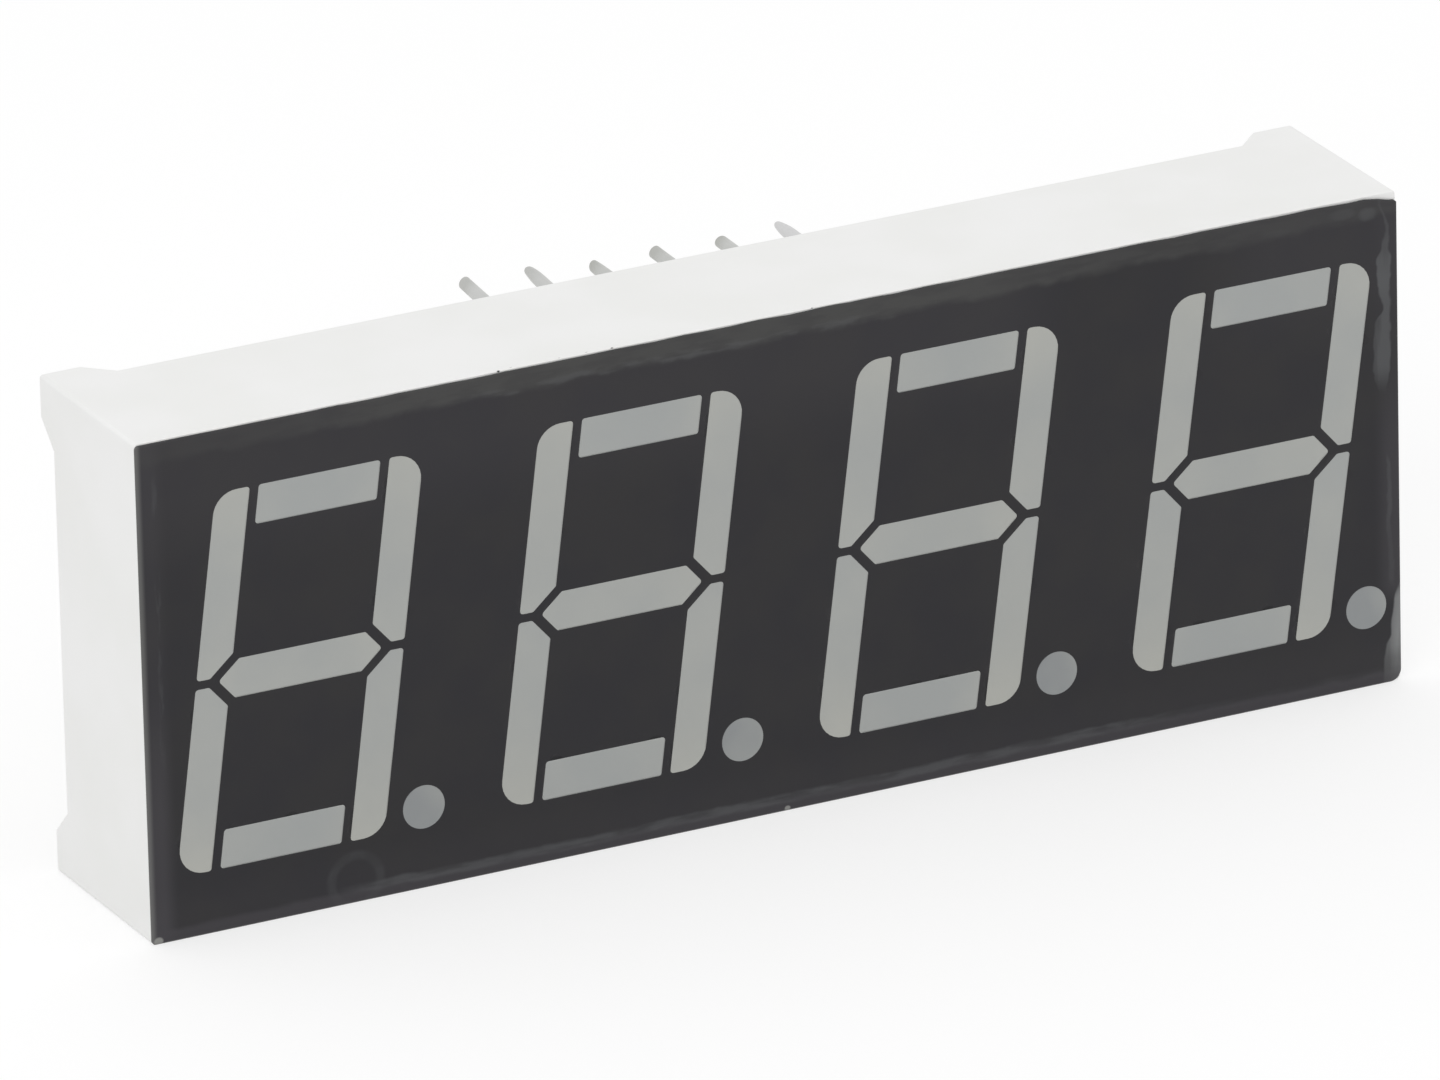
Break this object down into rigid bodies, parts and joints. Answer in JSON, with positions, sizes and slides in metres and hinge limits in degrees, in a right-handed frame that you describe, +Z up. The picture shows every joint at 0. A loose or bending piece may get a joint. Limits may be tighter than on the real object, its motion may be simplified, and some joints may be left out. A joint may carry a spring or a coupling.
{
  "type": "seven-segment led display",
  "caption": "Rectangular LED display with slanted seven-segment figures and decimal points in a charcoal face, a white moulded housing and round solder pins behind.",
  "frame": {"origin": "centre of the pin pattern, on the plane where the corner feet meet the circuit board that the display is soldered to", "axes": "+X along the row of figures in reading order, -Y out of the face, +Y the way the pins leave, +Z up the figures; the part stands on its long side"},
  "size_m": [0.0502, 0.0126, 0.019],
  "materials": {
    "housing_plastic": "white moulded plastic, satin",
    "face_film": "charcoal film, satin",
    "light_guide_resin": "grey diffusing cast resin, satin",
    "led_chip": "bare semiconductor chip",
    "bond_wire": "bright gold wire",
    "board_laminate": "glass-fibre laminate",
    "tinned_pin": "dull tin plate",
    "solder": "bright solder",
    "potting_resin": "milky cast resin with a low gloss"
  },
  "bodies": {
    "root": {"housing": "housing_plastic", "face_film": "face_film", "digit_1_segment_a": "light_guide_resin", "digit_1_segment_b": "light_guide_resin", "digit_1_segment_c": "light_guide_resin", "digit_1_segment_d": "light_guide_resin", "digit_1_segment_e": "light_guide_resin", "digit_1_segment_f": "light_guide_resin", "digit_1_segment_g": "light_guide_resin", "digit_1_decimal_point": "light_guide_resin", "digit_2_segment_a": "light_guide_resin", "digit_2_segment_b": "light_guide_resin", "digit_2_segment_c": "light_guide_resin", "digit_2_segment_d": "light_guide_resin", "digit_2_segment_e": "light_guide_resin", "digit_2_segment_f": "light_guide_resin", "digit_2_segment_g": "light_guide_resin", "digit_2_decimal_point": "light_guide_resin", "digit_3_segment_a": "light_guide_resin", "digit_3_segment_b": "light_guide_resin", "digit_3_segment_c": "light_guide_resin", "digit_3_segment_d": "light_guide_resin", "digit_3_segment_e": "light_guide_resin", "digit_3_segment_f": "light_guide_resin", "digit_3_segment_g": "light_guide_resin", "digit_3_decimal_point": "light_guide_resin", "digit_4_segment_a": "light_guide_resin", "digit_4_segment_b": "light_guide_resin", "digit_4_segment_c": "light_guide_resin", "digit_4_segment_d": "light_guide_resin", "digit_4_segment_e": "light_guide_resin", "digit_4_segment_f": "light_guide_resin", "digit_4_segment_g": "light_guide_resin", "digit_4_decimal_point": "light_guide_resin", "led_chips_digit_1": "led_chip", "bond_wires_digit_1": "bond_wire", "led_chips_digit_2": "led_chip", "bond_wires_digit_2": "bond_wire", "led_chips_digit_3": "led_chip", "bond_wires_digit_3": "bond_wire", "led_chips_digit_4": "led_chip", "bond_wires_digit_4": "bond_wire", "circuit_board": "board_laminate", "pin_1": "tinned_pin", "pin_2": "tinned_pin", "pin_3": "tinned_pin", "pin_4": "tinned_pin", "pin_5": "tinned_pin", "pin_6": "tinned_pin", "pin_7": "tinned_pin", "pin_8": "tinned_pin", "pin_9": "tinned_pin", "pin_10": "tinned_pin", "pin_11": "tinned_pin", "pin_12": "tinned_pin", "solder_joints": "solder", "potting_resin": "potting_resin"}
  },
  "joints": []
}
